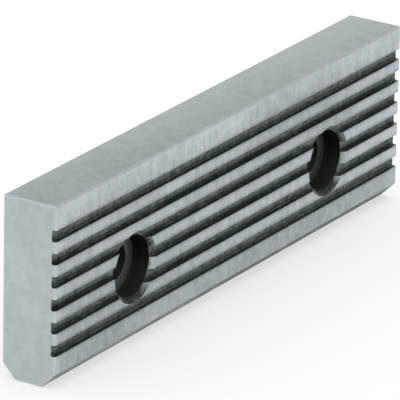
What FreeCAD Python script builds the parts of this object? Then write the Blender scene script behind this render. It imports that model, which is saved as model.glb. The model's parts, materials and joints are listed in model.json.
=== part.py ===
"""Soft jaw plate for a machine vice: one steel bar, grooved along its gripping face and held on by two screws.

The plate stands on its lower edge. X runs along the plate, the grooved gripping face looks towards -Y, the
mounting face towards +Y, and Z points up. The origin is the middle of the footprint, on the standing plane.
"""

import FreeCAD, Part
import math
import os

import Sketcher

V = FreeCAD.Vector
SHEET = "Dimensions"
HORIZONTAL_AXIS = -1
VERTICAL_AXIS = -2
START = 1
END = 2
CENTRE = 3
TOUCH = 1e-4

# Driving dimensions in millimetres: alias, value, meaning.
DIMENSIONS = [
    ("plate_length", 135, "length of the bar, end to end"),
    ("plate_height", 40, "height of the bar, standing edge to top face"),
    ("plate_thickness", 13, "thickness, gripping face to mounting face"),
    ("front_bevel", 3.4, "45 degree bevel under the gripping face"),
    ("rear_bevel", 3.2, "45 degree bevel that clears the corner of the vice bed"),
    ("edge_break", 0.35, "deburring chamfer on the outer edges"),
    ("groove_width", 2.5, "width of the flat-bottomed grip grooves"),
    ("groove_depth", 1.1, "depth of the grip grooves"),
    ("groove_corner", 0.25, "radius in the two inner corners of a grip groove"),
    ("groove_pitch", 5, "distance from one groove to the next"),
    ("groove_count", 6, "number of grip grooves"),
    ("lowest_groove_height", 8.6, "centre line of the lowest groove above the standing plane"),
    ("screw_spacing", 76, "distance between the two screw holes"),
    ("screw_height", 17.5, "height of the screw holes above the standing plane"),
    ("screw_clearance", 8.4, "diameter of the clearance hole for an M8 screw"),
    ("recess_diameter", 13.5, "diameter of the recess for the low screw head"),
    ("recess_depth", 5.2, "depth of the recess below the gripping face"),
    ("mouth_chamfer", 1, "chamfer round the mouth of the recess"),
    ("exit_chamfer", 0.4, "chamfer where the screw hole leaves the mounting face"),
]


def add_dimensions(doc):
    """Puts the driving dimensions in a spreadsheet, one per row, each under its alias."""
    sheet = doc.addObject("Spreadsheet::Sheet", SHEET)
    for row, (alias, value, meaning) in enumerate(DIMENSIONS, start=1):
        sheet.set(f"A{row}", alias)
        sheet.set(f"B{row}", str(value))
        sheet.setAlias(f"B{row}", alias)
        sheet.set(f"C{row}", meaning)
    doc.recompute()
    return sheet


def bind(feature, prop, formula):
    """Drives a property from the spreadsheet; a name in braces is a dimension's alias."""
    feature.setExpression(prop, formula.replace("{", SHEET + ".").replace("}", ""))


def origin_feature(body, role):
    """Returns the body's own origin plane or axis that has this role."""
    return next(item for item in body.Origin.OriginFeatures if item.Role == role)


def new_sketch(body, name, plane_role):
    """Adds an empty sketch that lies flat on one of the body's origin planes."""
    sketch = body.newObject("Sketcher::SketchObject", name)
    sketch.AttachmentSupport = [(origin_feature(body, plane_role), "")]
    sketch.MapMode = "FlatFace"
    return sketch


def draw_outline(sketch, corners):
    """Draws a closed outline; line number i runs from corner i to the next one."""
    count = len(corners)
    for line in range(count):
        sketch.addGeometry(Part.LineSegment(V(*corners[line], 0), V(*corners[(line + 1) % count], 0)))
    for line in range(count):
        sketch.addConstraint(Sketcher.Constraint("Coincident", line, END, (line + 1) % count, START))


def constrain(sketch, name, formula, *constraint):
    """Adds a named dimensional constraint and drives it from the spreadsheet."""
    index = sketch.addConstraint(Sketcher.Constraint(*constraint))
    sketch.renameConstraint(index, name)
    bind(sketch, f"Constraints.{name}", formula)


def edge_names(shape, wanted):
    """Names the edges of a shape that satisfy a test, as a dress-up feature asks for them."""
    return [f"Edge{number}" for number, edge in enumerate(shape.Edges, start=1) if wanted(edge)]


def add_chamfer(body, name, base, wanted, formula):
    """Adds an equal-distance chamfer to the edges of a feature that satisfy a test."""
    chamfer = body.newObject("PartDesign::Chamfer", name)
    chamfer.Base = (base, edge_names(base.Shape, wanted))
    chamfer.ChamferType = "Equal distance"
    bind(chamfer, "Size", formula)
    body.Document.recompute()
    return chamfer


def add_bar(body):
    """Pads the cross-section of the bar, with its two lower bevels, evenly to both sides of the middle."""
    sketch = new_sketch(body, "BarSection", "YZ_Plane")
    draw_outline(sketch, [(-3, 0), (3, 0), (6, 3), (6, 40), (-6, 40), (-6, 3)])
    foot, rear_slope, rear_side, top, front_side, front_slope = range(6)
    sketch.addConstraint(Sketcher.Constraint("Horizontal", foot))
    for upright in (rear_side, front_side):
        sketch.addConstraint(Sketcher.Constraint("Vertical", upright))
    sketch.addConstraint(Sketcher.Constraint("Symmetric", top, START, top, END, VERTICAL_AXIS))
    sketch.addConstraint(Sketcher.Constraint("PointOnObject", foot, START, HORIZONTAL_AXIS))
    constrain(sketch, "thickness", "{plate_thickness}", "DistanceX", top, END, top, START, 12)
    constrain(sketch, "height", "{plate_height}", "DistanceY", foot, END, top, START, 40)
    constrain(sketch, "rear_run", "{rear_bevel}", "DistanceX", rear_slope, START, rear_slope, END, 3)
    constrain(sketch, "rear_rise", "{rear_bevel}", "DistanceY", rear_slope, START, rear_slope, END, 3)
    constrain(sketch, "front_run", "{front_bevel}", "DistanceX", front_slope, START, front_slope, END, 3)
    constrain(sketch, "front_rise", "{front_bevel}", "DistanceY", front_slope, END, front_slope, START, 3)
    pad = body.newObject("PartDesign::Pad", "Bar")
    pad.Profile = sketch
    pad.Midplane = True
    bind(pad, "Length", "{plate_length}")
    body.Document.recompute()
    return pad


def break_outer_edges(body, bar, sheet):
    """Deburrs both end outlines and the two long edges of the top face."""
    half_length = sheet.plate_length / 2

    def is_outer(edge):
        box = edge.BoundBox
        on_an_end = box.XLength < TOUCH and abs(abs(box.XMin) - half_length) < TOUCH
        on_the_top = box.ZMin > sheet.plate_height - TOUCH
        return on_an_end or on_the_top

    return add_chamfer(body, "EdgeBreaks", bar, is_outer, "{edge_break}")


def drill_screw_holes(body):
    """Drills the two through holes from the gripping face, each with a flat recess for a low screw head."""
    sketch = new_sketch(body, "ScrewCentres", "XZ_Plane")
    bind(sketch, "AttachmentOffset.Base.z", "{plate_thickness} / 2")
    for side in (-30, 30):
        sketch.addGeometry(Part.Circle(V(side, 15, 0), V(0, 0, 1), 4))
    left, right = range(2)
    sketch.addConstraint(Sketcher.Constraint("Symmetric", left, CENTRE, right, CENTRE, VERTICAL_AXIS))
    sketch.addConstraint(Sketcher.Constraint("Equal", left, right))
    constrain(sketch, "spacing", "{screw_spacing}", "DistanceX", left, CENTRE, right, CENTRE, 60)
    constrain(sketch, "height", "{screw_height}", "DistanceY", HORIZONTAL_AXIS, START, left, CENTRE, 15)
    constrain(sketch, "clearance", "{screw_clearance}", "Diameter", left, 8)
    body.Document.recompute()
    hole = body.newObject("PartDesign::Hole", "ScrewHoles")
    hole.Profile = sketch
    body.Document.recompute()
    hole.ThreadType = "None"
    hole.DepthType = "ThroughAll"
    hole.DrillPoint = "Flat"
    hole.HoleCutType = "Counterbore"
    hole.HoleCutCustomValues = True
    bind(hole, "Diameter", "{screw_clearance}")
    bind(hole, "HoleCutDiameter", "{recess_diameter}")
    bind(hole, "HoleCutDepth", "{recess_depth}")
    body.Document.recompute()
    return hole


def is_ring(edge, diameter, depth):
    """Tells whether an edge is a full circle of this diameter in the plane Y = depth."""
    if not isinstance(edge.Curve, Part.Circle):
        return False
    return abs(edge.Curve.Radius - diameter / 2) < TOUCH and abs(edge.Curve.Center.y - depth) < TOUCH


def chamfer_screw_holes(body, holes, sheet):
    """Chamfers the mouths of the recesses, then the far ends of the clearance holes."""
    face = sheet.plate_thickness / 2
    mouths = add_chamfer(
        body,
        "MouthChamfers",
        holes,
        lambda edge: is_ring(edge, sheet.recess_diameter, -face),
        "{mouth_chamfer}",
    )
    return add_chamfer(
        body,
        "ExitChamfers",
        mouths,
        lambda edge: is_ring(edge, sheet.screw_clearance, face),
        "{exit_chamfer}",
    )


def draw_groove_section(sketch):
    """Draws and constrains the flat-bottomed section of the lowest groove, open ahead of the face."""
    quarter = math.pi / 2
    sketch.addGeometry(Part.LineSegment(V(-8, 7, 0), V(-5.3, 7, 0)))
    sketch.addGeometry(Part.ArcOfCircle(Part.Circle(V(-5.3, 7.3, 0), V(0, 0, 1), 0.3), -quarter, 0))
    sketch.addGeometry(Part.LineSegment(V(-5, 7.3, 0), V(-5, 8.7, 0)))
    sketch.addGeometry(Part.ArcOfCircle(Part.Circle(V(-5.3, 8.7, 0), V(0, 0, 1), 0.3), 0, quarter))
    sketch.addGeometry(Part.LineSegment(V(-5.3, 9, 0), V(-8, 9, 0)))
    sketch.addGeometry(Part.LineSegment(V(-8, 9, 0), V(-8, 7, 0)))
    lower_wall, lower_corner, floor, upper_corner, upper_wall, mouth = range(6)
    for line in range(4):
        sketch.addConstraint(Sketcher.Constraint("Tangent", line, END, line + 1, START))
    sketch.addConstraint(Sketcher.Constraint("Coincident", upper_wall, END, mouth, START))
    sketch.addConstraint(Sketcher.Constraint("Coincident", mouth, END, lower_wall, START))
    for wall in (lower_wall, upper_wall):
        sketch.addConstraint(Sketcher.Constraint("Horizontal", wall))
    for upright in (floor, mouth):
        sketch.addConstraint(Sketcher.Constraint("Vertical", upright))
    sketch.addConstraint(Sketcher.Constraint("Equal", lower_corner, upper_corner))
    corner = (lower_wall, START)
    origin = (HORIZONTAL_AXIS, START)
    constrain(sketch, "corner", "{groove_corner}", "Radius", lower_corner, 0.3)
    constrain(sketch, "width", "{groove_width}", "DistanceY", mouth, END, mouth, START, 2)
    constrain(sketch, "reach", "{groove_depth} * 2", "DistanceX", *corner, floor, START, 3)
    constrain(sketch, "inset", "{plate_thickness} / 2 + {groove_depth}", "DistanceX", *corner, *origin, 8)
    lower_edge = "{lowest_groove_height} - {groove_width} / 2"
    constrain(sketch, "height", lower_edge, "DistanceY", *origin, *corner, 7)


def mill_grooves(body):
    """Mills the lowest groove along the whole gripping face and repeats it up the face."""
    sketch = new_sketch(body, "GrooveSection", "YZ_Plane")
    draw_groove_section(sketch)
    groove = body.newObject("PartDesign::Pocket", "LowestGroove")
    groove.Profile = sketch
    groove.Type = "ThroughAll"
    groove.Midplane = True
    body.Document.recompute()
    rows = body.newObject("PartDesign::LinearPattern", "GripGrooves")
    rows.Originals = [groove]
    rows.Direction = (origin_feature(body, "Z_Axis"), [""])
    bind(rows, "Length", "{groove_pitch} * ({groove_count} - 1)")
    bind(rows, "Occurrences", "{groove_count}")
    body.Tip = rows
    body.Document.recompute()
    return groove, rows


def check_cuts(sheet, chamfered, groove, rows):
    """Stops unless the grooves removed the metal that channels of their size should."""
    corner_fill = (2 - math.pi / 2) * sheet.groove_corner**2
    channel = (sheet.groove_width * sheet.groove_depth - corner_fill) * sheet.plate_length
    first = chamfered.Shape.Volume - groove.Shape.Volume
    if abs(first - channel) > 0.02 * channel:
        raise RuntimeError(f"the lowest groove removed {first:.1f} mm3, not {channel:.1f}")
    every = chamfered.Shape.Volume - rows.Shape.Volume
    crossing_share = 2 * sheet.recess_diameter / sheet.plate_length
    if not (1 - crossing_share) * sheet.groove_count * channel < every < sheet.groove_count * channel:
        raise RuntimeError(f"the {sheet.groove_count} grooves removed {every:.1f} mm3 in all")


def check_document(doc):
    """Stops if any object of the document failed, or any shape is null or invalid."""
    for item in doc.Objects:
        if "Invalid" in item.State or "Error" in item.State:
            raise RuntimeError(f"{item.Name} did not recompute: {item.State}")
        if hasattr(item, "Shape") and item.isDerivedFrom("PartDesign::Feature"):
            if item.Shape.isNull() or not item.Shape.isValid():
                raise RuntimeError(f"{item.Name} has no valid shape")


def build_jaw_plate(doc, sheet):
    """Builds the whole plate, from the bar to its grooves, as one PartDesign body."""
    body = doc.addObject("PartDesign::Body", "JawPlate")
    body.Label = "jaw_plate"
    body.Placement = FreeCAD.Placement()
    bar = add_bar(body)
    deburred = break_outer_edges(body, bar, sheet)
    holes = drill_screw_holes(body)
    if deburred.Shape.Volume - holes.Shape.Volume < 1:
        raise RuntimeError("the screw holes cut nothing")
    chamfered = chamfer_screw_holes(body, holes, sheet)
    groove, rows = mill_grooves(body)
    check_cuts(sheet, chamfered, groove, rows)
    return body


def main():
    """Builds the document, checks it and writes one STEP file for the plate."""
    doc = FreeCAD.newDocument("SoftJaw")
    sheet = add_dimensions(doc)
    plate = build_jaw_plate(doc, sheet)
    check_document(doc)
    if len(plate.Shape.Solids) != 1 or not plate.Shape.isValid():
        raise RuntimeError("the plate is not one valid solid")
    os.makedirs("parts", exist_ok=True)
    plate.Shape.exportStep(f"parts/{plate.Label}.step")
    box = plate.Shape.BoundBox
    print(f"{plate.Label}: {box.XLength:.2f} x {box.YLength:.2f} x {box.ZLength:.2f} mm")
    print(f"volume {plate.Shape.Volume / 1000:.2f} cm3, {len(plate.Shape.Faces)} faces")


main()
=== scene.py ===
"""Dresses the vice jaw plate in ground and oxidised steel and stands it on a pale studio floor."""

import json
import logging
import math
from dataclasses import dataclass, field
from enum import Enum

import bpy
from mathutils import Matrix, Vector

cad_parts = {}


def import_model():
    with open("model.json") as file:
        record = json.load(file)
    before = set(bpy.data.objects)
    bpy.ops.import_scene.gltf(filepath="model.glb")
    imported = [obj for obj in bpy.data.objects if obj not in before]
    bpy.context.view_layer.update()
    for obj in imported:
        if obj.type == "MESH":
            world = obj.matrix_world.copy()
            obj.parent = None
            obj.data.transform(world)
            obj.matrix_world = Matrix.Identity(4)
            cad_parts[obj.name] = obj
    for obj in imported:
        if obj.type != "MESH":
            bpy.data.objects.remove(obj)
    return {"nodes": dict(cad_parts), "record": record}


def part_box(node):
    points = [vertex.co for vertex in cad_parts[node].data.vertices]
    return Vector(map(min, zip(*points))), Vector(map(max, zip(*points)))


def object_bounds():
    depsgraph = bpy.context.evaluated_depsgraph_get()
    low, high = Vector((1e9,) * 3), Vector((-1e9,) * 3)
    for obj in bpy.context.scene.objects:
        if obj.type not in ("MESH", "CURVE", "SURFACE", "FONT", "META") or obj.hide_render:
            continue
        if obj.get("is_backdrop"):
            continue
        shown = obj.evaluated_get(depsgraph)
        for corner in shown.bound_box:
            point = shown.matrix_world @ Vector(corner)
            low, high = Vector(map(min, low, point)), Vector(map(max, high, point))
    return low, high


Triple = tuple[float, float, float]
Colour = Triple
Socket = bpy.types.NodeSocket
Number = Socket | float
Paint = Socket | Colour

LOG = logging.getLogger("jaw_plate")
MM = 0.001
WHITE = (1.0, 1.0, 1.0, 1.0)

# Sockets of the Mix node, which has several of the same name.
MIX_AMOUNT = 0
MIX_NUMBERS = (2, 3)
MIX_COLOURS = (6, 7)
MIX_COLOUR_RESULT = 2


class Sense(Enum):
    """Which way a soft threshold runs."""

    ABOVE = "above"
    BELOW = "below"


class Axis(Enum):
    """The axes of the plate: along it, through it and up it."""

    X = 0
    Y = 1
    Z = 2


@dataclass(frozen=True)
class Pattern:
    """A cloudy pattern.

    Attributes:
        stretch: Spots per millimetre along X, Y and Z.
        detail: Octaves of finer pattern.
        roughness: Strength of each finer octave.
    """

    stretch: Triple
    detail: float
    roughness: float


@dataclass(frozen=True)
class Change:
    """A smooth change of level between two limits.

    Attributes:
        start: Where the change starts.
        end: Where the change is complete.
        low: The level before the start.
        high: The level past the end.
    """

    start: float
    end: float
    low: float = 0.0
    high: float = 1.0


FULL_SWING = Change(0.26, 0.74, -1.0, 1.0)


@dataclass
class NodeBench:
    """Adds and wires the nodes of one shader tree.

    Attributes:
        tree: The node tree that the nodes are added to.
    """

    tree: bpy.types.NodeTree

    def add(self, kind: str, **settings: object) -> bpy.types.Node:
        """Adds a node and sets its plain properties.

        Args:
            kind: Blender's name for the node type.
            **settings: Property names and values.

        Returns:
            The new node.
        """
        node = self.tree.nodes.new(kind)
        for name, value in settings.items():
            setattr(node, name, value)
        return node

    def feed(self, socket: Socket, source: Number | tuple[float, ...]) -> None:
        """Links a socket to another socket, or sets its plain value.

        Args:
            socket: The input to feed.
            source: An output socket, or the value itself.
        """
        if isinstance(source, bpy.types.NodeSocket):
            self.tree.links.new(source, socket)
        else:
            socket.default_value = source

    def math(self, operation: str, *values: Number, clamp: bool = False) -> Socket:
        """Works out one arithmetic step.

        Args:
            operation: Blender's name for the operation.
            *values: One to three numbers or sockets.
            clamp: Whether the result is held between 0 and 1.

        Returns:
            The result.
        """
        node = self.add("ShaderNodeMath", operation=operation, use_clamp=clamp)
        for socket, value in zip(node.inputs, values):
            self.feed(socket, value)
        return node.outputs[0]

    def chain(self, operation: str, *values: Number) -> Socket:
        """Runs one arithmetic step through several numbers.

        Args:
            operation: Blender's name for the operation.
            *values: Two or more numbers or sockets.

        Returns:
            The result.
        """
        result = values[0]
        for value in values[1:]:
            result = self.math(operation, result, value)
        return result

    def least(self, *values: Number) -> Socket:
        """Returns the smallest of several numbers."""
        return self.chain("MINIMUM", *values)

    def most(self, *values: Number) -> Socket:
        """Returns the largest of several numbers."""
        return self.chain("MAXIMUM", *values)

    def times(self, *values: Number) -> Socket:
        """Returns the product of several numbers."""
        return self.chain("MULTIPLY", *values)

    def total(self, *values: Number) -> Socket:
        """Returns the sum of two or more numbers, held between 0 and 1."""
        return self.math("ADD", self.chain("ADD", *values[:-1]), values[-1], clamp=True)

    def ramp(self, value: Socket, change: Change) -> Socket:
        """Turns a number smoothly from one level into another.

        Args:
            value: The number that drives the change.
            change: The limits and the levels.

        Returns:
            The changing level.
        """
        node = self.add("ShaderNodeMapRange", interpolation_type="SMOOTHSTEP")
        levels = (change.start, change.end, change.low, change.high)
        for socket, number in zip(node.inputs, (value, *levels)):
            self.feed(socket, number)
        return node.outputs[0]

    def edge(self, value: Socket, limit: float, softness: float, sense: Sense) -> Socket:
        """Returns 1 on one side of a limit and 0 on the other, with a soft step between.

        Args:
            value: The number to test.
            limit: The limit.
            softness: Width of the step.
            sense: The side that gets 1.

        Returns:
            The mask.
        """
        before, after = limit - softness / 2, limit + softness / 2
        if sense is Sense.ABOVE:
            return self.ramp(value, Change(before, after))
        return self.ramp(value, Change(before, after, 1.0, 0.0))

    def swing(self, pattern: Socket) -> Socket:
        """Returns a pattern that lies about 0.5, spread over -1 to 1."""
        return self.ramp(pattern, FULL_SWING)

    def mix(self, amount: Number, first: Paint, second: Paint) -> Socket:
        """Blends two colours.

        Args:
            amount: 0 gives the first colour and 1 the second.
            first: The first colour.
            second: The second colour.

        Returns:
            The blend.
        """
        node = self.add("ShaderNodeMix", data_type="RGBA")
        self.feed(node.inputs[MIX_AMOUNT], amount)
        for index, colour in zip(MIX_COLOURS, (first, second)):
            linked = isinstance(colour, bpy.types.NodeSocket)
            self.feed(node.inputs[index], colour if linked else (*colour, 1.0))
        return node.outputs[MIX_COLOUR_RESULT]

    def blend(self, amount: Number, first: Number, second: Number) -> Socket:
        """Blends two numbers.

        Args:
            amount: 0 gives the first number and 1 the second.
            first: The first number.
            second: The second number.

        Returns:
            The blend.
        """
        node = self.add("ShaderNodeMix", data_type="FLOAT")
        for index, value in zip((MIX_AMOUNT, *MIX_NUMBERS), (amount, first, second)):
            self.feed(node.inputs[index], value)
        return node.outputs[0]

    def part(self, vector: Socket, axis: Axis) -> Socket:
        """Takes one coordinate of a vector.

        Args:
            vector: The vector.
            axis: The coordinate to take.

        Returns:
            The coordinate.
        """
        split = self.add("ShaderNodeSeparateXYZ")
        self.feed(split.inputs[0], vector)
        return split.outputs[axis.value]

    def turned(self, place: Socket, axis: Axis, degrees: float) -> Socket:
        """Turns coordinates about an axis.

        Args:
            place: The coordinates.
            axis: The axis.
            degrees: The angle.

        Returns:
            The turned coordinates.
        """
        node = self.add("ShaderNodeVectorRotate", rotation_type=f"{axis.name}_AXIS")
        self.feed(node.inputs["Vector"], place)
        self.feed(node.inputs["Angle"], math.radians(degrees))
        return node.outputs[0]

    def noise(self, place: Socket, pattern: Pattern) -> Socket:
        """Makes a cloudy pattern, stretched along the chosen directions.

        Args:
            place: Coordinates in millimetres.
            pattern: The pattern.

        Returns:
            A number about 0.5, between 0 and 1.
        """
        mapping = self.add("ShaderNodeMapping")
        self.feed(mapping.inputs["Vector"], place)
        self.feed(mapping.inputs["Scale"], pattern.stretch)
        noise = self.add("ShaderNodeTexNoise")
        self.feed(noise.inputs["Vector"], mapping.outputs[0])
        self.feed(noise.inputs["Scale"], 1.0)
        self.feed(noise.inputs["Detail"], pattern.detail)
        self.feed(noise.inputs["Roughness"], pattern.roughness)
        return noise.outputs[0]


@dataclass(frozen=True)
class SteelFinish:
    """One surface condition of the steel.

    Attributes:
        clean: Reflectance where it is clean.
        dull: Reflectance where it is stained or worn, and where shade is painted.
        clean_roughness: Roughness where it is clean.
        dull_roughness: Roughness where it is stained or worn.
    """

    clean: Colour
    dull: Colour
    clean_roughness: float
    dull_roughness: float

    def colour(self, bench: NodeBench, wear_and_painted_light: Socket) -> Socket:
        """Returns the colour at a given wear from 0 to 1."""
        return bench.mix(wear_and_painted_light, self.clean, self.dull)

    def roughness(self, bench: NodeBench, wear_and_painted_light: Socket) -> Socket:
        """Returns the roughness at a given wear from 0 to 1."""
        return bench.blend(wear_and_painted_light, self.clean_roughness, self.dull_roughness)


GROUND = SteelFinish((0.500, 0.562, 0.575), (0.290, 0.328, 0.338), 0.26, 0.44)
POLISHED = SteelFinish((0.550, 0.605, 0.616), (0.450, 0.500, 0.510), 0.24, 0.24)
OXIDE = SteelFinish((0.170, 0.195, 0.192), (0.062, 0.072, 0.070), 0.40, 0.56)
# A darker copy of the oxide, used as painted shade in the grooves' lower corners.
SHADED_OXIDE = SteelFinish((0.036, 0.042, 0.038), (0.009, 0.011, 0.008), 0.40, 0.56)
MILLED = SteelFinish((0.290, 0.320, 0.324), (0.085, 0.097, 0.097), 0.32, 0.50)
MOUTH = SteelFinish((0.430, 0.478, 0.487), (0.045, 0.051, 0.049), 0.42, 0.56)
SEAT = SteelFinish((0.330, 0.356, 0.344), (0.100, 0.113, 0.103), 0.52, 0.62)
BORED = SteelFinish((0.090, 0.099, 0.088), (0.010, 0.013, 0.006), 0.60, 0.75)


@dataclass(frozen=True)
class PlateSizes:
    """Sizes of the plate that its finish follows, in millimetres.

    Attributes:
        length: End to end.
        thickness: Gripping face to mounting face.
        height: Standing edge to top face.
        screw_x: From the middle of the plate to each screw.
        screw_z: Height of the screws.
        screw_radius: Radius of the clearance hole.
        recess_radius: Radius of the recess for the screw's head.
        recess_depth: Depth of the recess.
        mouth: Chamfer round the mouth of the recess.
        front_bevel: Width and height of the bevel under the gripping face.
        rear_bevel: Width and height of the bevel under the mounting face.
        lowest_groove: Height of the middle of the lowest groove.
        groove_pitch: From groove to groove.
        groove_width: Width of each groove.
        groove_depth: Depth of each groove.
        groove_count: Number of grooves.
        edge_break: Deburring chamfer on the outer edges.
    """

    length: float
    thickness: float
    height: float
    screw_x: float
    screw_z: float
    screw_radius: float
    recess_radius: float
    recess_depth: float = 5.2
    mouth: float = 1.0
    front_bevel: float = 3.4
    rear_bevel: float = 3.2
    lowest_groove: float = 8.6
    groove_pitch: float = 5.0
    groove_width: float = 2.5
    groove_depth: float = 1.1
    groove_count: int = 6
    edge_break: float = 0.35

    @classmethod
    def from_frame(cls, node: str, record: dict) -> "PlateSizes":
        """Reads the sizes that the frame knows.

        Args:
            node: Name of the plate's node.
            record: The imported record.

        Returns:
            The sizes.
        """
        low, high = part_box(node)
        length, thickness, height = (high - low) / MM
        mounts = {mount["name"]: mount for mount in record["mounts"]}
        screw, recess = mounts["right_screw_hole"], mounts["right_head_recess"]
        return cls(
            length=length,
            thickness=thickness,
            height=height,
            screw_x=screw["pos_m"][0] / MM,
            screw_z=screw["pos_m"][2] / MM,
            screw_radius=screw["dims"]["r_mm"],
            recess_radius=recess["dims"]["r_mm"],
        )


@dataclass
class PlateZones:
    """Finds the differently finished surfaces of the plate from where they lie.

    Attributes:
        bench: The shader tree being built.
        sizes: The plate's sizes.
        place: Coordinates in millimetres.
        facing: The surface's direction.
        on_surface: How far from a surface still counts as on it.
        face_softness: How softly a bevel starts beside the faces that it joins.
        seat_slack: How far past the recess's radius still counts as its seat.
        square_on: Share of the direction that a face has along its own axis.
        square_softness: How softly that share starts to count.
        x: Distance right of the middle.
        z: Height above the standing edge.
        front: Depth below the gripping face.
        rear: Depth below the mounting face.
        top: Depth below the top face.
        end: Depth below the nearer end.
        radius: Distance from the nearer screw's axis.
    """

    bench: NodeBench
    sizes: PlateSizes
    place: Socket
    facing: Socket
    on_surface: float = 0.03
    face_softness: float = 0.02
    seat_slack: float = 0.1
    square_on: float = 0.9
    square_softness: float = 0.1
    x: Socket = field(init=False)
    z: Socket = field(init=False)
    front: Socket = field(init=False)
    rear: Socket = field(init=False)
    top: Socket = field(init=False)
    end: Socket = field(init=False)
    radius: Socket = field(init=False)

    def __post_init__(self) -> None:
        """Measures the distances below the outer faces and from the screws."""
        bench, sizes = self.bench, self.sizes
        self.x, through, self.z = (bench.part(self.place, axis) for axis in Axis)
        sideways = bench.math("ABSOLUTE", self.x)
        self.front = bench.math("ADD", through, sizes.thickness / 2)
        self.rear = bench.math("SUBTRACT", sizes.thickness / 2, through)
        self.top = bench.math("SUBTRACT", sizes.height, self.z)
        self.end = bench.math("SUBTRACT", sizes.length / 2, sideways)
        across = bench.math("SUBTRACT", sideways, sizes.screw_x)
        squares = (bench.math("POWER", side, 2.0) for side in (across, self.upward()))
        self.radius = bench.math("SQRT", bench.math("ADD", *squares))

    def slope(self, first: Socket, second: Socket, size: float) -> Socket:
        """Measures how far below a 45 degree chamfer a place lies.

        Args:
            first: Distance below one of the two faces.
            second: Distance below the other face.
            size: Size of the chamfer.

        Returns:
            The distance below the chamfer's face.
        """
        past = self.bench.math("SUBTRACT", self.bench.math("ADD", first, second), size)
        return self.bench.times(past, math.sqrt(0.5))

    def near(self, value: Socket, target: float) -> Socket:
        """Returns 1 where a distance has the wanted value, and 0 elsewhere."""
        return self.bench.math("COMPARE", value, target, self.on_surface)

    def depth(self) -> tuple[Socket, Socket, Socket]:
        """Measures the depth below the whole outer skin, and below its small chamfers.

        Returns:
            The depth below the skin, the end outlines' chamfers and the top edges' chamfers.
        """
        bench, sizes = self.bench, self.sizes
        top_edges = bench.least(
            self.slope(self.front, self.top, sizes.edge_break),
            self.slope(self.rear, self.top, sizes.edge_break),
        )
        prism = bench.least(
            self.front,
            self.rear,
            self.top,
            self.z,
            self.slope(self.front, self.z, sizes.front_bevel),
            self.slope(self.rear, self.z, sizes.rear_bevel),
            top_edges,
        )
        end_edges = self.slope(prism, self.end, sizes.edge_break)
        return bench.least(prism, self.end, end_edges), end_edges, top_edges

    def bevels(self) -> Socket:
        """Finds the two bevels beside the standing edge.

        Returns:
            1 on the bevels, 0 elsewhere.
        """
        bench, sizes = self.bench, self.sizes
        front = self.near(self.slope(self.front, self.z, sizes.front_bevel), 0.0)
        rear = self.near(self.slope(self.rear, self.z, sizes.rear_bevel), 0.0)
        below = bench.least(self.front, self.rear, self.z, self.end)
        inside = bench.edge(below, self.on_surface, self.face_softness, Sense.ABOVE)
        return bench.times(bench.most(front, rear), inside)

    def mouths(self) -> Socket:
        """Returns 1 on the conical mouths of the recesses, and 0 elsewhere."""
        cone = self.bench.math("ADD", self.front, self.radius)
        return self.near(cone, self.sizes.recess_radius + self.sizes.mouth)

    def seats(self) -> Socket:
        """Finds the flat seats of the screw heads.

        Returns:
            1 on the seats, 0 elsewhere.
        """
        widest = self.sizes.recess_radius + self.seat_slack
        inside = self.bench.math("LESS_THAN", self.radius, widest)
        return self.bench.times(self.near(self.front, self.sizes.recess_depth), inside)

    def bores(self) -> Socket:
        """Returns 1 on the walls of the recesses and screw holes, and 0 elsewhere."""
        radii = (self.sizes.recess_radius, self.sizes.screw_radius)
        return self.bench.most(*(self.near(self.radius, radius) for radius in radii))

    def faces(self, axis: Axis) -> Socket:
        """Returns 1 on the faces that look along an axis, and 0 elsewhere."""
        square = self.bench.math("ABSOLUTE", self.bench.part(self.facing, axis))
        return self.bench.edge(square, self.square_on, self.square_softness, Sense.ABOVE)

    def upward(self) -> Socket:
        """Returns the height above the screws' axes."""
        return self.bench.math("SUBTRACT", self.z, self.sizes.screw_z)

    def in_groove(self) -> Socket:
        """Measures the place within the nearest groove.

        Returns:
            The height above the groove's middle.
        """
        bench, sizes = self.bench, self.sizes
        raised = bench.math("SUBTRACT", self.z, sizes.lowest_groove)
        row = bench.math("ROUND", bench.math("DIVIDE", raised, sizes.groove_pitch))
        row = bench.least(bench.most(row, 0.0), sizes.groove_count - 1.0)
        return bench.math("SUBTRACT", raised, bench.times(row, sizes.groove_pitch))

    def beside_groove(self) -> Socket:
        """Measures how far a place on the gripping face is from the nearest groove's edge.

        Returns:
            The distance, which is large on the mounting face.
        """
        bench = self.bench
        aside = bench.math("ABSOLUTE", self.in_groove())
        return bench.most(bench.math("SUBTRACT", aside, self.sizes.groove_width / 2), self.front)


@dataclass(frozen=True)
class Levels:
    """How strongly each kind of mark shows on a ground face.

    Attributes:
        grain: Strength of the wheel's grain.
        mottle: Strength of the small clouds.
        drift: Strength of the large clouds.
    """

    grain: float
    mottle: float
    drift: float


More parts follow.
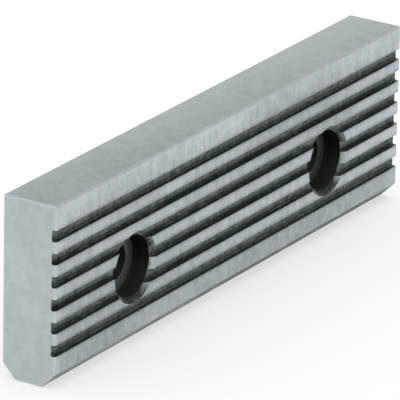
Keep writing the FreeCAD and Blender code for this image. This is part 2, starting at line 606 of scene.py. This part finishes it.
@dataclass(frozen=True)
class Grinding:
    """Marks of the wheel on the outer faces, and light and shade painted on them; places are in
    millimetres.

    Attributes:
        across: Grain up the faces.
        aslant: Grain of the top face, before it is turned.
        aslant_turn: Angle of the top face's grain, in degrees.
        strokes: Grain of the reworked patches of the gripping face, before it is turned.
        strokes_turn: Angle of the reworked grain, in degrees.
        reworked: Where the reworked patches are.
        reworked_share: From untouched to reworked.
        mottle: Small clouds.
        drift: Large clouds.
        scratches_across: Fine scratches up the faces.
        scratches_aslant: Fine scratches of the top face, before they are turned.
        front_dullness: Dullness of the gripping and mounting faces.
        top_dullness: Dullness of the top and the standing edge.
        end_dullness: Dullness of the ends; the three levels are painted light and shade, one per
            face.
        front: Strength of the marks on the gripping and mounting faces.
        other: Strength of the marks elsewhere.
        near_top_and_ends: Change towards the top and the ends, brighter there.
        lips: Change beside each groove, where its edge is dull.
        face_light_low: Change from left to right, low on the gripping and mounting faces.
        face_light_low_fade: Height over which that starts.
        face_light_high: Change from left to right, high on the same faces.
        face_light_right: Most that the change high on them may be at the right.
        face_light_height: Height over which low gives way to high.
        painted_sheen: Painted highlight: change over the top face, from the front left to the rear
            right.
        sheen_inward: Weight of front to rear in it, against 1 for left to right.
    """

    across: Pattern = Pattern((1.0, 0.25, 0.11), 4.0, 0.62)
    aslant: Pattern = Pattern((0.9, 0.11, 0.5), 4.0, 0.62)
    aslant_turn: float = 28.0
    strokes: Pattern = Pattern((1.1, 0.3, 0.14), 3.0, 0.6)
    strokes_turn: float = 30.0
    reworked: Pattern = Pattern((0.11, 0.2, 0.16), 2.0, 0.5)
    reworked_share: Change = Change(0.50, 0.62)
    mottle: Pattern = Pattern((0.44, 0.45, 0.44), 3.0, 0.6)
    drift: Pattern = Pattern((0.045, 0.09, 0.07), 2.0, 0.5)
    scratches_across: Pattern = Pattern((13.0, 1.5, 0.5), 3.0, 0.6)
    scratches_aslant: Pattern = Pattern((11.0, 0.7, 5.0), 3.0, 0.6)
    front_dullness: float = 0.49
    top_dullness: float = 0.41
    end_dullness: float = 0.24
    front: Levels = Levels(0.18, 0.17, 0.17)
    other: Levels = Levels(0.05, 0.12, 0.07)
    near_top_and_ends: Change = Change(0.4, 5.0, -0.28, 0.0)
    lips: Change = Change(0.0, 0.9, 0.5, 0.0)
    face_light_low: Change = Change(-20.0, 24.0, 0.0, -0.20)
    face_light_low_fade: Change = Change(6.0, 10.0)
    face_light_high: Change = Change(-20.0, 24.0, -0.18, 0.18)
    face_light_right: Change = Change(32.0, 46.0, 0.18, 0.02)
    face_light_height: Change = Change(12.0, 30.0)
    painted_sheen: Change = Change(-0.6, 0.85, 0.16, -0.30)
    sheen_inward: float = 0.9


@dataclass(frozen=True)
class Deburring:
    """Marks of the file on the broken outer edges; places are in millimetres.

    Attributes:
        patches: Where the edges are broken more or less.
        reach: Depth that the polish reaches below the chamfers.
        softness: How softly the polish ends.
        top_share: How bright the top edges are.
    """

    patches: Pattern = Pattern((0.5, 0.5, 0.5), 3.0, 0.6)
    reach: Change = Change(0.3, 0.7, 0.02, 0.16)
    softness: float = 0.06
    top_share: Change = Change(0.36, 0.64, 0.40, 0.85)


@dataclass(frozen=True)
class Cutting:
    """Marks of the cutters and scale in the cuts, with shade painted in the grooves' corners, the
    bores and the mouths; places are in millimetres.

    Attributes:
        burr: The ragged rim of the cuts.
        burr_depth: Depth that the ground faces reach into the cuts.
        burr_softness: How softly they end.
        patches: Clouds of scale.
        patch_share: From clean to scaled in the clouds.
        chatter: Bars of scale that the cutter left across the grooves.
        chatter_share: From clean to scaled in the bars.
        bars_and_shade: Where clouds give way to bars, and the painted shade is deeper.
        bar_share: From clouds to bars.
        shade_share: From little painted shade to much.
        shade_low: Height within the groove over which the painted shade builds up.
        shade_rise: How far above the groove's floor the painted shade ends.
        shade_fade: Half the height over which the painted shade changes from groove to groove.
        shade_lowest: Share of the painted shade in the lowest groove.
        shade_highest: Share of the painted shade in the highest groove.
        turning: Rings of the bores and seats, by radius and depth.
        turning_share: From smooth to ringed.
        bore_shade: Painted shade in the bores, darker towards their tops, by height above the
            screws' axes.
        bore_rings: Strength of the rings in the bores.
        seat_rings: Strength of the rings on the seats.
        seat_shade: Wear of the left and the right seat.
        mouth_clouds: Strength of the clouds in the mouths.
        mouth_upper: Painted shade on the mouths' upper half, by height above the screws' axes.
        mouth_lowest: Painted shade on the mouths' lowest part.
        mouth_highest: More painted shade at the mouths' highest part.
        mouth_inner: More painted shade towards the recess, by depth.
        milling: Marks along the grooves and bevels.
        tarnish: Clouds on the bevels.
        tarnish_strength: Strength of those clouds.
        tarnish_along: Wear of the bevels from left to right.
    """

    burr: Pattern = Pattern((1.7, 0.6, 1.1), 3.0, 0.6)
    burr_depth: Change = Change(0.42, 0.70, 0.03, 0.26)
    burr_softness: float = 0.03
    patches: Pattern = Pattern((0.55, 0.9, 0.9), 4.0, 0.65)
    patch_share: Change = Change(0.32, 0.70)
    chatter: Pattern = Pattern((1.7, 0.1, 0.1), 2.0, 0.5)
    chatter_share: Change = Change(0.36, 0.68, 0.15, 0.75)
    bars_and_shade: Pattern = Pattern((0.10, 0.2, 0.2), 2.0, 0.5)
    bar_share: Change = Change(0.40, 0.60)
    shade_share: Change = Change(0.38, 0.58, 0.50, 1.0)
    shade_low: Change = Change(0.1, -1.1)
    shade_rise: float = 0.5
    shade_fade: float = 1.0
    shade_lowest: float = 0.4
    shade_highest: float = 0.5
    turning: Pattern = Pattern((5.0, 5.0, 0.0), 3.0, 0.6)
    turning_share: Change = Change(0.3, 0.7)
    bore_shade: Change = Change(-6.0, 3.0, 0.15, 0.85)
    bore_rings: float = 0.15
    seat_rings: float = 0.25
    seat_shade: tuple[float, float] = (0.10, 0.70)
    mouth_clouds: float = 0.12
    mouth_upper: Change = Change(-0.8, 2.6, 0.0, 0.70)
    mouth_lowest: Change = Change(-4.6, -7.2)
    mouth_highest: Change = Change(5.4, 7.0, 0.0, 0.30)
    mouth_inner: Change = Change(0.3, 1.0, 0.0, 0.45)
    milling: Pattern = Pattern((2.2, 6.0, 6.0), 3.0, 0.6)
    tarnish: Pattern = Pattern((0.16, 0.4, 0.4), 4.0, 0.6)
    tarnish_strength: float = 0.35
    tarnish_along: Change = Change(-66.0, 20.0, 0.52, 0.95)


@dataclass
class JawSteel:
    """The steel of the plate: ground outer faces, dark cuts, bright broken edges.

    Attributes:
        sizes: The plate's sizes.
        grinding: Marks on the outer faces.
        deburring: Marks on the outer edges.
        cutting: Marks in the cuts.
        relief: Depth of the marks, in metres.
        relief_strength: How strongly they tilt the surface.
        bench: The shader tree being built.
        zones: Where the different surfaces lie.
    """

    sizes: PlateSizes
    grinding: Grinding = Grinding()
    deburring: Deburring = Deburring()
    cutting: Cutting = Cutting()
    relief: float = 0.015 * MM
    relief_strength: float = 0.5
    bench: NodeBench = field(init=False)
    zones: PlateZones = field(init=False)

    def make(self) -> bpy.types.Material:
        """Builds the whole material.

        Returns:
            The material.
        """
        material = bpy.data.materials.new("ground_steel")
        material.use_nodes = True
        material.node_tree.nodes.clear()
        self.bench = bench = NodeBench(material.node_tree)
        coordinates = bench.add("ShaderNodeTexCoord")
        scale = bench.add("ShaderNodeVectorMath", operation="SCALE")
        bench.feed(scale.inputs[0], coordinates.outputs["Object"])
        bench.feed(scale.inputs["Scale"], 1 / MM)
        self.zones = PlateZones(bench, self.sizes, scale.outputs[0], coordinates.outputs["Normal"])
        skin, end_edges, top_edges = self.zones.depth()
        colour, roughness, height = self.ground()
        colour, roughness = self.break_edges(colour, roughness, end_edges, top_edges)
        cut = bench.most(self.cut_surfaces(skin), self.zones.bevels(), self.zones.mouths())
        cut_colour, cut_roughness, cut_height = self.cuts()
        shader = bench.add("ShaderNodeBsdfPrincipled")
        shader.inputs["Metallic"].default_value = 1.0
        bench.feed(shader.inputs["Base Color"], bench.mix(cut, colour, cut_colour))
        bench.feed(shader.inputs["Roughness"], bench.blend(cut, roughness, cut_roughness))
        bump = bench.add("ShaderNodeBump")
        bench.feed(bump.inputs["Strength"], self.relief_strength)
        bench.feed(bump.inputs["Distance"], self.relief)
        bench.feed(bump.inputs["Height"], bench.blend(cut, height, cut_height))
        bench.feed(shader.inputs["Normal"], bump.outputs[0])
        output = bench.add("ShaderNodeOutputMaterial")
        bench.feed(output.inputs["Surface"], shader.outputs[0])
        return material

    def cut_surfaces(self, skin: Socket) -> Socket:
        """Finds the surfaces below the skin; the wheel's burr makes their rim ragged.

        Args:
            skin: Depth below the outer skin.

        Returns:
            1 in the grooves, recesses and holes, 0 elsewhere.
        """
        bench, cutting = self.bench, self.cutting
        rim = bench.ramp(bench.noise(self.zones.place, cutting.burr), cutting.burr_depth)
        below = bench.math("SUBTRACT", skin, rim)
        return bench.edge(below, 0.0, cutting.burr_softness, Sense.ABOVE)

    def ground(self) -> tuple[Socket, Socket, Socket]:
        """Grinds the outer faces: up the sides and ends, and aslant on the top.

        Returns:
            The colour, the roughness and the height of the scratches.
        """
        bench, zones, marks = self.bench, self.zones, self.grinding
        place = zones.place
        is_end, is_front, is_top = (zones.faces(axis) for axis in Axis)
        slanted = bench.turned(place, Axis.Z, marks.aslant_turn)
        stroked = bench.turned(place, Axis.Y, marks.strokes_turn)
        across, aslant = bench.noise(place, marks.across), bench.noise(slanted, marks.aslant)
        reworked = bench.ramp(bench.noise(place, marks.reworked), marks.reworked_share)
        strokes = bench.noise(stroked, marks.strokes)
        grain = bench.blend(is_top, across, aslant)
        grain = bench.blend(bench.times(reworked, is_front), grain, strokes)
        clouds = (
            (grain, marks.other.grain, marks.front.grain),
            (bench.noise(place, marks.mottle), marks.other.mottle, marks.front.mottle),
            (bench.noise(place, marks.drift), marks.other.drift, marks.front.drift),
        )
        # Painted light and shade: each face gets its own level of dullness, the ends the lowest.
        level = bench.blend(is_top, marks.front_dullness, marks.top_dullness)
        dullness = bench.total(
            bench.blend(is_end, level, marks.end_dullness),
            *(
                bench.times(bench.swing(cloud), bench.blend(is_front, weak, strong))
                for cloud, weak, strong in clouds
            ),
            bench.times(is_front, self.near_top_and_ends()),
            bench.times(is_front, self.painted_face_light()),
            bench.times(is_front, bench.ramp(zones.beside_groove(), marks.lips)),
            bench.times(is_top, self.painted_sheen()),
        )
        scratches = bench.blend(
            is_top,
            bench.noise(place, marks.scratches_across),
            bench.noise(slanted, marks.scratches_aslant),
        )
        return GROUND.colour(bench, dullness), GROUND.roughness(bench, dullness), scratches

    def near_top_and_ends(self) -> Socket:
        """Returns the change in dullness near the top and the ends, which makes them brighter."""
        inward = self.bench.least(self.zones.top, self.zones.end)
        return self.bench.ramp(inward, self.grinding.near_top_and_ends)

    def painted_face_light(self) -> Socket:
        """Paints light and shade on the two large faces: brighter upper left and lower right.

        Returns:
            The change in dullness.
        """
        bench, zones, marks = self.bench, self.zones, self.grinding
        low = bench.times(
            bench.ramp(zones.x, marks.face_light_low), bench.ramp(zones.z, marks.face_light_low_fade)
        )
        high = bench.least(
            bench.ramp(zones.x, marks.face_light_high), bench.ramp(zones.x, marks.face_light_right)
        )
        return bench.blend(bench.ramp(zones.z, marks.face_light_height), low, high)

    def painted_sheen(self) -> Socket:
        """Paints a highlight on the top face, brighter towards its rear and its right.

        Returns:
            The change in dullness.
        """
        bench, zones, sizes = self.bench, self.zones, self.sizes
        middle = sizes.thickness / 2
        along = bench.times(zones.x, 1 / sizes.length)
        through = bench.math("SUBTRACT", zones.front, middle)
        inward = bench.times(through, self.grinding.sheen_inward / sizes.thickness)
        return bench.ramp(bench.math("ADD", along, inward), self.grinding.painted_sheen)

    def break_edges(
        self, colour: Socket, roughness: Socket, end_edges: Socket, top_edges: Socket
    ) -> tuple[Socket, Socket]:
        """Brightens the broken outer edges.

        Args:
            colour: Colour of the ground faces.
            roughness: Roughness of the ground faces.
            end_edges: Depth below the chamfers round the ends.
            top_edges: Depth below the chamfers along the top.

        Returns:
            The new colour and roughness.
        """
        bench, marks = self.bench, self.deburring
        patchy = bench.noise(self.zones.place, marks.patches)
        reach = bench.ramp(patchy, marks.reach)
        ends, tops = (
            bench.edge(bench.math("SUBTRACT", edges, reach), 0.0, marks.softness, Sense.BELOW)
            for edges in (end_edges, top_edges)
        )
        bright = bench.most(ends, bench.times(tops, bench.ramp(patchy, marks.top_share)))
        return (
            bench.mix(bright, colour, POLISHED.colour(bench, patchy)),
            bench.blend(bright, roughness, POLISHED.roughness(bench, patchy)),
        )

    def cuts(self) -> tuple[Socket, Socket, Socket]:
        """Finishes the cuts: scale in the grooves, bores, seats, mouths and bevels, and painted
        shade in the grooves' lower corners.

        Returns:
            The colour, the roughness and the height of the tool marks.
        """
        bench, zones, marks = self.bench, self.zones, self.cutting
        place = zones.place
        patches = bench.ramp(bench.noise(place, marks.patches), marks.patch_share)
        chatter = bench.ramp(bench.noise(place, marks.chatter), marks.chatter_share)
        bars_and_shade = bench.noise(place, marks.bars_and_shade)
        scale = bench.blend(bench.ramp(bars_and_shade, marks.bar_share), patches, chatter)
        # Painted shade: a darker copy of the oxide along each groove's lower corner.
        groove_shade = bench.times(self.groove_corner_shade(), bench.ramp(bars_and_shade, marks.shade_share))
        colour = bench.mix(groove_shade, OXIDE.colour(bench, scale), SHADED_OXIDE.colour(bench, scale))
        roughness = bench.blend(groove_shade, OXIDE.roughness(bench, scale), SHADED_OXIDE.roughness(bench, scale))
        turning = self.turning()
        # The dullness of the bores and the mouths includes painted shade.
        for zone, finish, wear_and_painted_light in (
            (zones.bores(), BORED, self.bore_rings_and_shade(turning)),
            (zones.seats(), SEAT, self.seat_wear(turning)),
            (zones.mouths(), MOUTH, self.mouth_stain_and_shade(patches)),
            (zones.bevels(), MILLED, self.bevel_wear()),
        ):
            colour = bench.mix(zone, colour, finish.colour(bench, wear_and_painted_light))
            roughness = bench.blend(zone, roughness, finish.roughness(bench, wear_and_painted_light))
        turned = bench.most(zones.bores(), zones.seats())
        return colour, roughness, bench.blend(turned, bench.noise(place, marks.milling), turning)

    def groove_corner_shade(self) -> Socket:
        """Paints shade along each groove's lower corner, less in the outer two.

        Returns:
            1 in the corner, 0 away from it.
        """
        bench, zones, sizes, marks = self.bench, self.zones, self.sizes, self.cutting
        second = sizes.lowest_groove + sizes.groove_pitch / 2
        last = second + sizes.groove_pitch * (sizes.groove_count - 2)
        fade = marks.shade_fade
        share = bench.least(
            bench.ramp(zones.z, Change(second - fade, second + fade, marks.shade_lowest, 1.0)),
            bench.ramp(zones.z, Change(last - fade, last + fade, 1.0, marks.shade_highest)),
        )
        low = bench.ramp(zones.in_groove(), marks.shade_low)
        floor = Change(sizes.groove_depth - marks.shade_rise, sizes.groove_depth)
        return bench.times(low, bench.ramp(zones.front, floor), share)

    def turning(self) -> Socket:
        """Cuts the fine rings of the bores and seats.

        Returns:
            The rings, from 0 to 1.
        """
        bench = self.bench
        rings = bench.add("ShaderNodeCombineXYZ")
        bench.feed(rings.inputs[0], self.zones.radius)
        bench.feed(rings.inputs[1], self.zones.front)
        pattern = bench.noise(rings.outputs[0], self.cutting.turning)
        return bench.ramp(pattern, self.cutting.turning_share)

    def bore_rings_and_shade(self, turning: Socket) -> Socket:
        """Returns how dull the bores are: ringed, with painted shade that darkens them towards
        their tops.
        """
        shade = self.bench.ramp(self.zones.upward(), self.cutting.bore_shade)
        return self.bench.total(shade, self.bench.times(turning, self.cutting.bore_rings))

    def seat_wear(self, turning: Socket) -> Socket:
        """Shades the seats: ringed, and duller in the right recess.

        Args:
            turning: The rings.

        Returns:
            The dullness.
        """
        bench, side = self.bench, self.sizes.screw_x
        shade = bench.ramp(self.zones.x, Change(-side, side, *self.cutting.seat_shade))
        return bench.total(shade, bench.times(turning, self.cutting.seat_rings))

    def mouth_stain_and_shade(self, patches: Socket) -> Socket:
        """Stains the mouths with clouds, and paints shade on them, darker towards their top, their
        foot and the recess.

        Args:
            patches: The clouds of scale.

        Returns:
            The stain and the painted shade.
        """
        bench, marks = self.bench, self.cutting
        upward = self.zones.upward()
        halves = (bench.ramp(upward, half) for half in (marks.mouth_upper, marks.mouth_lowest))
        return bench.total(
            bench.times(bench.swing(patches), marks.mouth_clouds),
            bench.most(*halves),
            bench.ramp(upward, marks.mouth_highest),
            bench.ramp(self.zones.front, marks.mouth_inner),
        )

    def bevel_wear(self) -> Socket:
        """Tarnishes the bevels: cloudy, and duller to the right.

        Returns:
            The dullness.
        """
        bench, marks = self.bench, self.cutting
        clouds = bench.swing(bench.noise(self.zones.place, marks.tarnish))
        along = bench.ramp(self.zones.x, marks.tarnish_along)
        return bench.total(bench.times(clouds, marks.tarnish_strength), along)


@dataclass
class JawPlate:
    """The one piece of the object: the grooved steel plate.

    Attributes:
        node: The plate's object.
        record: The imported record.
    """

    node: bpy.types.Object
    record: dict

    def dress(self) -> None:
        """Gives the plate its steel."""
        sizes = PlateSizes.from_frame(self.node.name, self.record)
        self.node.material_slots[0].material = JawSteel(sizes).make()
        box = (sizes.length, sizes.thickness, sizes.height)
        LOG.info("%s: %.0f x %.0f x %.0f mm", self.node.name, *box)


@dataclass
class Studio:
    """The floor and the light round the object.

    Attributes:
        floor_half_width: From the middle of the floor to its sides, in metres.
        floor_gap: How far the floor lies below the object, so that they share no plane, in metres.
        floor_reflectance: Share of the light that the floor scatters.
        floor_lift: Glow that brings the lit floor up to white.
        backdrop: Brightness of the surroundings at the horizon, where 1 is white.
        walls: Brightness of the surroundings above the backdrop.
        ceiling: Brightness of the surroundings overhead.
        walls_start: Upward share of the direction at which the backdrop starts to end.
        walls_full: Upward share at which the walls are plain.
        ceiling_start: Upward share at which the ceiling starts.
        ceiling_full: Upward share at which the ceiling is plain.
    """

    floor_half_width: float = 7.0
    floor_gap: float = 0.05 * MM
    floor_reflectance: float = 0.5
    floor_lift: float = 0.57
    backdrop: float = 1.00
    walls: float = 0.75
    ceiling: float = 0.96
    walls_start: float = 0.04
    walls_full: float = 0.24
    ceiling_start: float = 0.28
    ceiling_full: float = 0.75

    def build(self) -> None:
        """Lays the floor and lights the room."""
        self.lay_floor()
        self.light_room()
        LOG.info("studio: floor %.0f m across", 2 * self.floor_half_width)

    def lay_floor(self) -> None:
        """Lays a plain white floor under the object."""
        bpy.ops.object.select_all(action="DESELECT")
        side = 2 * self.floor_half_width
        bpy.ops.mesh.primitive_plane_add(size=side, location=(0, 0, -self.floor_gap))
        floor = bpy.context.object
        floor.name = "studio_floor"
        floor.data.materials.append(self.floor_material())
        floor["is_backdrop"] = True

    def floor_material(self) -> bpy.types.Material:
        """Makes a matt white that looks white in reflections too, and is clear from below.

        Returns:
            The material.
        """
        material = bpy.data.materials.new("studio_floor")
        material.use_nodes = True
        material.node_tree.nodes.clear()
        bench = NodeBench(material.node_tree)
        matt = bench.add("ShaderNodeBsdfDiffuse")
        grey = (self.floor_reflectance,) * 3
        bench.feed(matt.inputs["Color"], (*grey, 1.0))
        lift = bench.add("ShaderNodeEmission")
        bench.feed(lift.inputs["Strength"], bench.times(self.seen(bench), self.floor_lift))
        surface = bench.add("ShaderNodeAddShader")
        bench.feed(surface.inputs[0], matt.outputs[0])
        bench.feed(surface.inputs[1], lift.outputs[0])
        clear = bench.add("ShaderNodeBsdfTransparent")
        sides = bench.add("ShaderNodeMixShader")
        bench.feed(sides.inputs[0], bench.add("ShaderNodeNewGeometry").outputs["Backfacing"])
        bench.feed(sides.inputs[1], surface.outputs[0])
        bench.feed(sides.inputs[2], clear.outputs[0])
        output = bench.add("ShaderNodeOutputMaterial")
        bench.feed(output.inputs["Surface"], sides.outputs[0])
        return material

    def seen(self, bench: NodeBench) -> Socket:
        """Tells whether a ray is from the eye, a reflection or a clear surface.

        Args:
            bench: The shader tree being built.

        Returns:
            1 for such a ray, 0 for scattered light.
        """
        path = bench.add("ShaderNodeLightPath")
        kinds = ("Is Camera Ray", "Is Glossy Ray", "Is Transmission Ray")
        return bench.most(*(path.outputs[kind] for kind in kinds))

    def light_room(self) -> None:
        """Surrounds the object with white light: a backdrop, dimmer walls, a brighter ceiling."""
        world = bpy.data.worlds.new("studio_light")
        world.use_nodes = True
        world.node_tree.nodes.clear()
        bpy.context.scene.world = world
        bench = NodeBench(world.node_tree)
        upward = bench.part(bench.add("ShaderNodeTexCoord").outputs["Generated"], Axis.Z)
        walls = Change(self.walls_start, self.walls_full, self.backdrop, self.walls)
        ceiling = Change(self.ceiling_start, self.ceiling_full, 0.0, self.ceiling - self.walls)
        strength = bench.math("ADD", bench.ramp(upward, walls), bench.ramp(upward, ceiling))
        light = bench.add("ShaderNodeBackground")
        bench.feed(light.inputs["Color"], WHITE)
        bench.feed(light.inputs["Strength"], strength)
        bench.feed(bench.add("ShaderNodeOutputWorld").inputs["Surface"], light.outputs[0])


@dataclass(frozen=True)
class CameraRig:
    """A long-lens camera at the front left of the plate, looking down at it.

    Attributes:
        azimuth: Degrees round the object, negative towards its left end.
        elevation: Degrees above the floor.
        roll: Degrees of tilt of the frame.
        distance: From the aim point to the lens, in metres.
        aim: The point at the middle of the frame, from the middle of the gripping face's foot.
        lens: Focal length in millimetres.
        sensor: Width of the sensor in millimetres.
        nearest: Closest thing that shows, in metres.
        farthest: Farthest thing that shows, in metres.
    """

    azimuth: float = -57.836
    elevation: float = 21.030
    roll: float = 1.182
    distance: float = 1.2535
    aim: Triple = (-0.013538, 0.0, 0.024678)
    lens: float = 540.64
    sensor: float = 36.0
    nearest: float = 0.05
    farthest: float = 20.0

    def axes(self) -> Matrix:
        """Works out which way the camera looks.

        Returns:
            Its right, up and backward directions, as columns.
        """
        turn, lift = math.radians(self.azimuth), math.radians(self.elevation)
        reach = math.cos(lift)
        back = Vector((math.sin(turn) * reach, -math.cos(turn) * reach, math.sin(lift)))
        level = Vector((0, 0, 1)).cross(back).normalized()
        upright = back.cross(level)
        tilt = math.radians(self.roll)
        right = level * math.cos(tilt) + upright * math.sin(tilt)
        up = upright * math.cos(tilt) - level * math.sin(tilt)
        return Matrix((right, up, back)).transposed()

    def place(self, front: float) -> None:
        """Sets the camera up.

        Args:
            front: Y of the gripping face, in metres.
        """
        data = bpy.data.cameras.new("camera")
        data.sensor_width = self.sensor
        data.lens = self.lens
        data.clip_start = self.nearest
        data.clip_end = self.farthest
        camera = bpy.data.objects.new("camera", data)
        bpy.context.scene.collection.objects.link(camera)
        axes = self.axes()
        spot = Vector(self.aim) + Vector((0, front, 0)) + axes.col[2] * self.distance
        camera.matrix_world = Matrix.Translation(spot) @ axes.to_4x4()
        bpy.context.scene.camera = camera
        LOG.info("camera: %.0f mm lens, %.2f m away", self.lens, self.distance)


def main() -> None:
    """Loads the frame, dresses the plate and sets up the studio and the camera."""
    logging.basicConfig(level=logging.INFO, format="%(name)s: %(message)s")
    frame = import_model()
    cad_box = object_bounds()
    bpy.context.scene.view_settings.view_transform = "Standard"
    plate = JawPlate(frame["nodes"]["jaw_plate"], frame["record"])
    plate.dress()
    Studio().build()
    CameraRig().place(cad_box[0].y)


if __name__ == "__main__":
    main()
